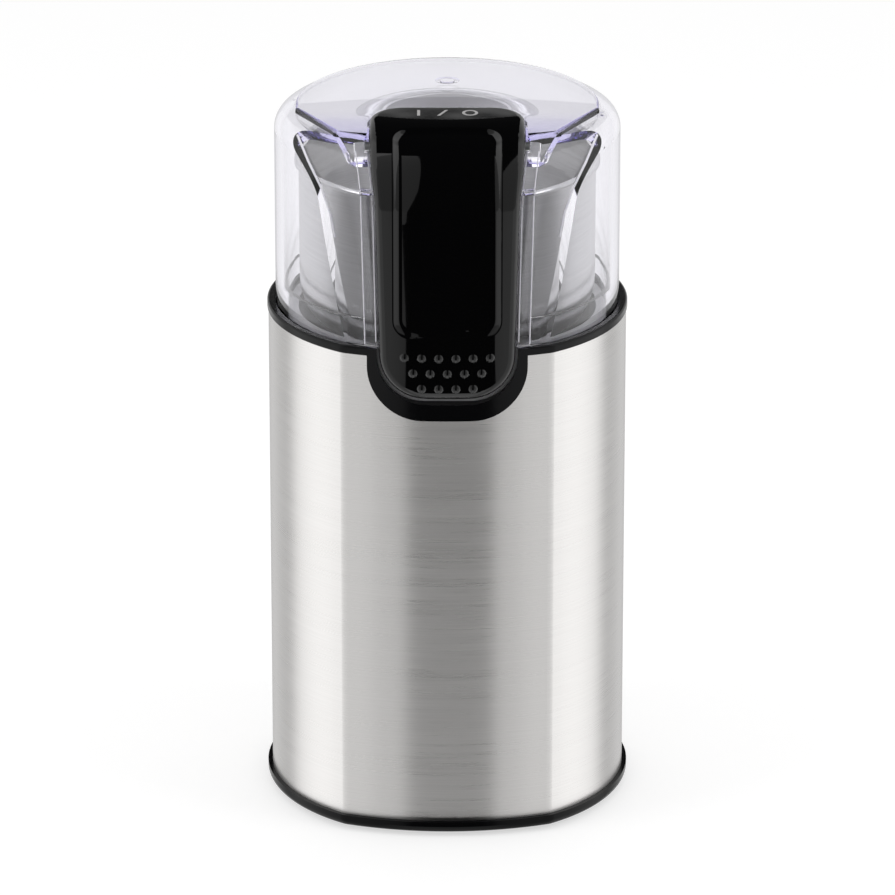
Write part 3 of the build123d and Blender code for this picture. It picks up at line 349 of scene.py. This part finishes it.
def gloss_black(name, tone, roughness, specular):
    """Moulded black plastic: faint long waves from the mould and a few fine scuffs."""
    material, nodes, shader = surface(name, tone, roughness, specular=specular)
    waves = nodes.noise(60.0, detail=1.0)
    scuffs = nodes.noise(900.0, detail=4.0)
    nodes.link(nodes.ramp(scuffs, [(0.4, roughness), (0.8, roughness * 1.6)]), shader.inputs["Roughness"])
    nodes.link(nodes.bump(waves, strength=0.05, distance=0.0004), shader.inputs["Normal"])
    return material


def black_with_painted_light_well(name, tone, roughness, specular):
    """The black moulding, with painted light: a pale patch in the well round the bowl, under the lid, that brightens
    the clear lid over it.
    """
    material = gloss_black(name, tone, roughness, specular)
    nodes = Nodes(material.node_tree, keep=True)
    shader = next(n for n in nodes.tree.nodes if n.type == "BSDF_PRINCIPLED")
    x, y, z = nodes.place()
    well = nodes.math("LESS_THAN", nodes.radius_squared(x, y), well_radius ** 2)
    for value, limit in ((y, -well_front), (z, well_floor)):
        well = nodes.math("MULTIPLY", well, nodes.math("GREATER_THAN", value, limit))
    # Painted light: the well turns pale
    nodes.link(nodes.ramp(well, [(0.0, tone), (1.0, well_painted_light_tone)]), shader.inputs["Base Color"])
    return material


def satin_plastic(name, tone, roughness, grain=1400.0):
    """Moulded plastic with a fine even grain."""
    material, nodes, shader = surface(name, tone, roughness)
    speck = nodes.noise(grain, detail=3.0)
    nodes.link(nodes.ramp(speck, shades(tone, 0.1)), shader.inputs["Base Color"])
    nodes.link(nodes.bump(speck, strength=0.15, distance=0.00005), shader.inputs["Normal"])
    return material


def rubber(name, tone):
    """Moulded rubber with a dull, uneven grain."""
    material, nodes, shader = surface(name, tone, 0.7, specular=0.35)
    grain = nodes.noise(2500.0, detail=3.0)
    nodes.link(nodes.ramp(grain, [(0.3, 0.6), (0.7, 0.85)]), shader.inputs["Roughness"])
    nodes.link(nodes.bump(grain, strength=0.25, distance=0.00006), shader.inputs["Normal"])
    return material


def clear_lid():
    """Clear plastic with a faint violet tint that shows where it is thick, and very fine scuffs."""
    material, nodes, shader = surface("clear_plastic_look", lid_tone, 0.0, ior=lid_index)
    shader.inputs["Transmission Weight"].default_value = 1.0
    scuffs = nodes.noise(700.0, detail=4.0)
    nodes.link(nodes.ramp(scuffs, [(0.5, 0.0), (0.9, 0.03)]), shader.inputs["Roughness"])
    depth = nodes.add("ShaderNodeVolumeAbsorption")
    depth.inputs["Color"].default_value = (*lid_depth_tone, 1)
    depth.inputs["Density"].default_value = lid_depth_density
    output = next(n for n in nodes.tree.nodes if n.type == "OUTPUT_MATERIAL")
    nodes.link(depth.outputs[0], output.inputs["Volume"])
    return material


def specked(name, tones, roughness, grain):
    """A surface whose tone varies between two others in fine specks."""
    tone, dark, light = tones
    material, nodes, shader = surface(name, tone, roughness)
    speck = nodes.noise(grain, detail=2.0)
    nodes.link(nodes.ramp(speck, [(0.3, dark), (0.7, light)]), shader.inputs["Base Color"])
    return material


def finishes():
    """One look for each node of the model."""
    steel = brushed_steel("body_steel_look", steel_tone, roughness=0.3, lines=5200.0, anisotropic=0.85, wear=0.04)
    bowl_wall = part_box("grinding_bowl")[1].x - bowl_lip - bowl_sheet / 2
    bowl = spun_bowl_painted_light_and_shade("bowl_steel_painted_light_and_shade", bowl_inside_painted_light_tone, bowl_outside_painted_shade_tone, satin=0.28, polish=0.3, wall=bowl_wall)
    blade = brushed_steel("blade_steel_look", (0.68, 0.68, 0.69), roughness=0.25, lines=3000.0, anisotropic=0.3,
                          wear=0.05)
    paddle = gloss_black("paddle_black", paddle_tone, roughness=0.03, specular=0.5)
    trim = gloss_black("trim_black", trim_tone, roughness=0.12, specular=0.12)
    # The housing carries painted light: a pale well under the lid
    seated = black_with_painted_light_well("housing_black", trim_tone, roughness=0.12, specular=0.17)
    satin = satin_plastic("satin_black", (0.012, 0.012, 0.013), roughness=0.42)
    black_rubber = rubber("rubber_black", (0.012, 0.012, 0.012))
    zinc = plain_metal("zinc_plate", (0.62, 0.63, 0.64), roughness=0.34, patch=0.08)
    shaft = plain_metal("ground_shaft", (0.6, 0.6, 0.61), roughness=0.2, patch=0.04, scale=1500.0)
    spring = plain_metal("spring_wire", (0.5, 0.5, 0.52), roughness=0.3, patch=0.06)
    brass = plain_metal("turned_brass", (0.78, 0.58, 0.28), roughness=0.28, patch=0.06)
    bronze = plain_metal("sintered_bronze", (0.55, 0.37, 0.2), roughness=0.5, patch=0.15, scale=2500.0)
    carbon = satin_plastic("pressed_carbon", (0.03, 0.03, 0.032), roughness=0.55, grain=2500.0)
    nylon = satin_plastic("white_nylon_look", (0.75, 0.74, 0.7), roughness=0.45)
    grey = satin_plastic("fan_grey", (0.08, 0.08, 0.085), roughness=0.4)
    core = layered("stacked_core", (0.25, 0.25, 0.27), roughness=0.45, metallic=0.8, layer=0.0005)
    copper = layered("wound_copper", (0.65, 0.26, 0.12), roughness=0.3, metallic=0.85, layer=0.0007)
    return {
        steel: ["steel_sleeve"],
        bowl: ["grinding_bowl"],
        blade: ["blade"],
        paddle: ["paddle"],
        seated: ["housing"],
        trim: ["base_cover"],
        satin: ["blade_hub", "blade_cap", "micro_switch"],
        black_rubber: ["rubber_feet", "cord_inlet", "bowl_gasket", "shaft_seal", "motor_dampers"],
        zinc: ["base_screws", "clamp_nut", "paddle_pin", "switch_screws", "upper_bracket", "lower_bracket",
               "motor_bolts", "mount_screws"],
        shaft: ["motor_shaft"],
        spring: ["plunger_spring", "brush_springs"],
        brass: ["clamp_bush", "switch_terminals", "brush_holders"],
        bronze: ["upper_bush", "lower_bush"],
        carbon: ["carbon_brushes"],
        nylon: ["switch_plunger", "switch_button", "thrust_washers"],
        grey: ["cooling_fan"],
        core: ["stator_core", "armature_core"],
        copper: ["field_coils", "armature_windings", "commutator"],
        clear_lid(): ["lid"],
    }


def dress_nodes():
    for material, names in finishes().items():
        for name in names:
            for slot in frame["nodes"][name].material_slots:
                slot.link = "OBJECT"
                slot.material = material


def new_piece(name, points, faces, material, body):
    """A mesh of its own, with its own material, which rides on a node of the model."""
    mesh = bpy.data.meshes.new(name)
    mesh.from_pydata(points, [], faces)
    mesh.materials.append(material)
    piece = bpy.data.objects.new(name, mesh)
    bpy.context.scene.collection.objects.link(piece)
    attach(piece, body)
    return piece


# Printed signs

def printed(name, outline, height, ink):
    """Thin printed ink. The outline is a closed ring of points and, for a hollow sign, the ring of its hole."""
    outer, inner = outline
    points = [(x, y, height) for x, y in outer]
    count = len(outer)
    if inner is None:
        faces = [tuple(range(count))]
    else:
        points += [(x, y, height) for x, y in inner]
        nexts = [(i + 1) % count for i in range(count)]
        faces = [(i, j, count + j, count + i) for i, j in enumerate(nexts)]
    piece = new_piece(name, points, faces, ink, "paddle")
    solid = piece.modifiers.new("ink", "SOLIDIFY")
    solid.thickness = sign_ink
    solid.offset = 1.0


def stroke(x, lean):
    """A straight stroke of the signs' height, centred at x; lean moves its top sideways."""
    half = sign_stroke / 2
    low, high = sign_y - sign_height / 2, sign_y + sign_height / 2
    return [(x - lean - half, low), (x - lean + half, low), (x + lean + half, high), (x + lean - half, high)], None


def ring(x):
    """An oval ring of the signs' height, centred at x."""
    def oval(inset):
        turns = [2 * math.pi * i / ring_steps for i in range(ring_steps)]
        across, along = ring_width / 2 - inset, sign_height / 2 - inset
        return [(x + across * math.cos(t), sign_y + along * math.sin(t)) for t in turns]
    return oval(0), oval(sign_stroke)


def signs():
    ink = specked("sign_print", ink_tones, roughness=0.45, grain=4000.0)
    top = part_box("paddle")[1].z + sign_ink
    printed("sign_on", stroke(bar_x, 0), top, ink)
    printed("sign_slash", stroke(slash_x, slash_lean), top, ink)
    printed("sign_off", ring(ring_x), top, ink)


# Painted highlights along the lid's edges

def course(corners):
    """Points of the picture along a line, about one step apart."""
    points = [corners[0]]
    for (a, b), (c, d) in zip(corners, corners[1:]):
        steps = max(1, round(math.hypot(c - a, d - b) / edge_step))
        points += [(a + (c - a) * i / steps, b + (d - b) * i / steps) for i in range(1, steps + 1)]
    return points


def camera_pose():
    """Place of the camera, and how far it is turned up from looking straight down."""
    tilt = math.radians(camera_elevation)
    place = Vector((0, -camera_distance * math.cos(tilt), aim_height + camera_distance * math.sin(tilt)))
    return place, math.pi / 2 - tilt


def lid_points(pixels):
    """Where the picture's points lie on the outside of the lid."""
    lid = frame["nodes"]["lid"]
    skin = BVHTree.FromPolygons([lid.matrix_world @ v.co for v in lid.data.vertices],
                                [tuple(p.vertices) for p in lid.data.polygons])
    eye, turned = camera_pose()
    turn = Matrix.Rotation(turned, 3, "X")
    places = []
    for across, down in pixels:
        ray = turn @ Vector((across - optical_axis_x, optical_axis_y - down, -focal_pixels))
        places.append(skin.ray_cast(eye, ray.normalized())[0])
    return places


def tube(points, radius):
    """Closed thin tube along a line: its corner points and faces."""
    corners, faces = [], []
    for i, point in enumerate(points):
        along = (points[min(i + 1, len(points) - 1)] - points[max(i - 1, 0)]).normalized()
        across = along.cross(Vector((1, 0, 0))).normalized()
        other = along.cross(across)
        for k in range(edge_sides):
            turn = 2 * math.pi * k / edge_sides
            corners.append(point + (across * math.cos(turn) + other * math.sin(turn)) * radius)
    for i in range(len(points) - 1):
        for k in range(edge_sides):
            a, b = i * edge_sides + k, i * edge_sides + (k + 1) % edge_sides
            faces.append((a, b, b + edge_sides, a + edge_sides))
    last = (len(points) - 1) * edge_sides
    faces.append(tuple(reversed(range(edge_sides))))
    faces.append(tuple(range(last, last + edge_sides)))
    return corners, faces


def painted_edge_highlights():
    """Pale tubes along the lid's edges: painted highlights standing in for the light the edges catch."""
    look = specked("painted_edge_highlight", highlight_tones, roughness=0.25, grain=900.0)
    for name, (radius, corners) in highlight_lines.items():
        line = lid_points(course(corners))
        for side, sign in (("left", 1), ("right", -1)):
            points, faces = tube([Vector((sign * p.x, p.y, p.z)) for p in line], radius)
            new_piece(f"{name}_{side}", points, faces, look, "lid")


# Studio

def ring_tone(nodes, turn, tones):
    """Brightness by turn, 0 at the front and 1 at the back; the ramp itself holds no more than 1."""
    stops = [(degrees / 180, tone / ring_limit) for degrees, tone in tones]
    return nodes.math("MULTIPLY", nodes.ramp(turn, stops), ring_limit)


def studio_tone(nodes, path):
    """How bright the surroundings look in a reflection, by its direction.

    A ring lies below eye level and another above it. Before them stand the dark slot in front, and the dark wall
    with its pale board. What the light reaches through the lid, the bowl above all, has a ring and a sky of its own.
    """
    split = nodes.add("ShaderNodeSeparateXYZ")
    nodes.link(nodes.add("ShaderNodeTexCoord").outputs["Generated"], split.inputs[0])
    across, back, height = (split.outputs[axis] for axis in "XYZ")
    sideways = nodes.math("ABSOLUTE", across)
    forward = nodes.math("MULTIPLY", back, -1.0)
    turn = nodes.math("DIVIDE", nodes.math("ARCTAN2", sideways, forward), math.pi)
    low, high, bowl = (ring_tone(nodes, turn, tones) for tones in (low_ring, high_ring, bowl_ring))
    above = nodes.math("GREATER_THAN", height, 0.0)

    under = nodes.math("MULTIPLY", nodes.math("LESS_THAN", turn, under_reach / 180),
                       nodes.math("LESS_THAN", height, slot_low))
    tone = nodes.mix(above, nodes.mix(under, low, under_tone), high)

    narrowing = nodes.math("MULTIPLY", nodes.math("MAXIMUM", height, 0.0), slot_narrowing)
    slot = nodes.math("MULTIPLY", nodes.math("GREATER_THAN", across, nodes.math("ADD", narrowing, slot_left)),
                      nodes.math("LESS_THAN", across, slot_right))
    slot = nodes.math("MULTIPLY", slot, nodes.math("GREATER_THAN", forward, 0.0))
    wall = nodes.math("MULTIPLY", nodes.math("GREATER_THAN", back, wall_front),
                      nodes.math("LESS_THAN", sideways, wall_half))
    dark = nodes.math("MULTIPLY", nodes.math("MAXIMUM", slot, wall), nodes.math("GREATER_THAN", height, slot_low))
    tone = nodes.mix(dark, tone, dark_tone)

    board = nodes.clamped(nodes.math("DIVIDE", nodes.math("SUBTRACT", board_top, height), board_fade))
    tone = nodes.mix(nodes.math("MULTIPLY", wall, board), tone, board_tone)

    through_lid = nodes.math("MINIMUM", path.outputs["Transmission Depth"], 1.0)
    return nodes.mix(through_lid, tone, nodes.mix(above, bowl, bowl_sky))


def reflected(nodes, path):
    """1 where the ray has met a reflection on its way, 0 where it comes straight or through clear plastic."""
    return nodes.math("MINIMUM", path.outputs["Glossy Depth"], 1.0)


def seen(nodes, path):
    """1 where the camera looks, straight or through clear plastic."""
    return nodes.math("MAXIMUM", path.outputs["Is Camera Ray"], path.outputs["Is Transmission Ray"])


def mixed(nodes, factor, first, second):
    """One shader where factor is 0, another where it is 1."""
    mix = nodes.add("ShaderNodeMixShader")
    for source, socket in zip((factor, first.outputs[0], second.outputs[0]), mix.inputs):
        nodes.link(source, socket)
    return mix


def world():
    """White to the camera and through clear plastic; a studio with dark and bright sides to a reflection."""
    scene = bpy.context.scene
    scene.world = bpy.data.worlds.new("studio")
    scene.world.use_nodes = True
    nodes = Nodes(scene.world.node_tree)
    path = nodes.add("ShaderNodeLightPath")
    soft = nodes.add("ShaderNodeBackground", Strength=soft_strength)
    white = nodes.add("ShaderNodeBackground", Strength=white_strength)
    white.inputs["Color"].default_value = (1, 1, 1, 1)
    room = nodes.add("ShaderNodeBackground")
    nodes.link(studio_tone(nodes, path), room.inputs["Strength"])
    plain = mixed(nodes, seen(nodes, path), soft, white)
    final = mixed(nodes, reflected(nodes, path), plain, room)
    output = nodes.add("ShaderNodeOutputWorld")
    nodes.link(final.outputs[0], output.inputs["Surface"])


def floor():
    """Pale floor that keeps a soft shadow; a reflection looks past it into the studio."""
    bpy.ops.mesh.primitive_plane_add(size=floor_size, location=(0, 0, 0))
    plane = bpy.context.object
    plane.name = "floor"
    material = bpy.data.materials.new("pale_floor")
    material.use_nodes = True
    nodes = Nodes(material.node_tree)
    path = nodes.add("ShaderNodeLightPath")
    matt = nodes.add("ShaderNodeBsdfDiffuse")
    matt.inputs["Color"].default_value = (floor_tone, floor_tone, floor_tone, 1)
    glow = nodes.add("ShaderNodeEmission")
    nodes.link(nodes.math("MULTIPLY", seen(nodes, path), floor_glow), glow.inputs["Strength"])
    both = nodes.add("ShaderNodeAddShader")
    nodes.link(matt.outputs[0], both.inputs[0])
    nodes.link(glow.outputs[0], both.inputs[1])
    through = nodes.add("ShaderNodeBsdfTransparent")
    mix = mixed(nodes, reflected(nodes, path), both, through)
    output = nodes.add("ShaderNodeOutputMaterial")
    nodes.link(mix.outputs[0], output.inputs["Surface"])
    plane.data.materials.append(material)


def lamps():
    """Soft boxes that light matt surfaces and stay out of reflections."""
    for name, (place, size, power) in lamp_boxes.items():
        light = bpy.data.lights.new(name, "AREA")
        light.shape = "RECTANGLE"
        light.size, light.size_y = size
        light.energy = power
        lamp = bpy.data.objects.new(name, light)
        lamp.location = place
        lamp.rotation_euler = (lamp_aim - Vector(place)).to_track_quat("-Z", "Y").to_euler()
        lamp.visible_glossy = False
        bpy.context.scene.collection.objects.link(lamp)


def camera():
    data = bpy.data.cameras.new("camera")
    data.sensor_width = sensor_width
    data.lens = focal_pixels / image_pixels * sensor_width
    data.shift_x = (image_pixels / 2 - optical_axis_x) / image_pixels
    data.shift_y = (optical_axis_y - image_pixels / 2) / image_pixels
    data.clip_start = nearest_seen
    data.clip_end = farthest_seen
    eye = bpy.data.objects.new("camera", data)
    place, turned = camera_pose()
    eye.location = place
    eye.rotation_euler = (turned, 0, 0)
    bpy.context.scene.collection.objects.link(eye)
    bpy.context.scene.camera = eye


camera()
dress_nodes()
signs()
painted_edge_highlights()
world()
floor()
lamps()
bpy.context.scene.view_settings.view_transform = "Standard"
for limit in ("max_bounces", "transmission_bounces", "glossy_bounces"):
    setattr(bpy.context.scene.cycles, limit, light_bounces)
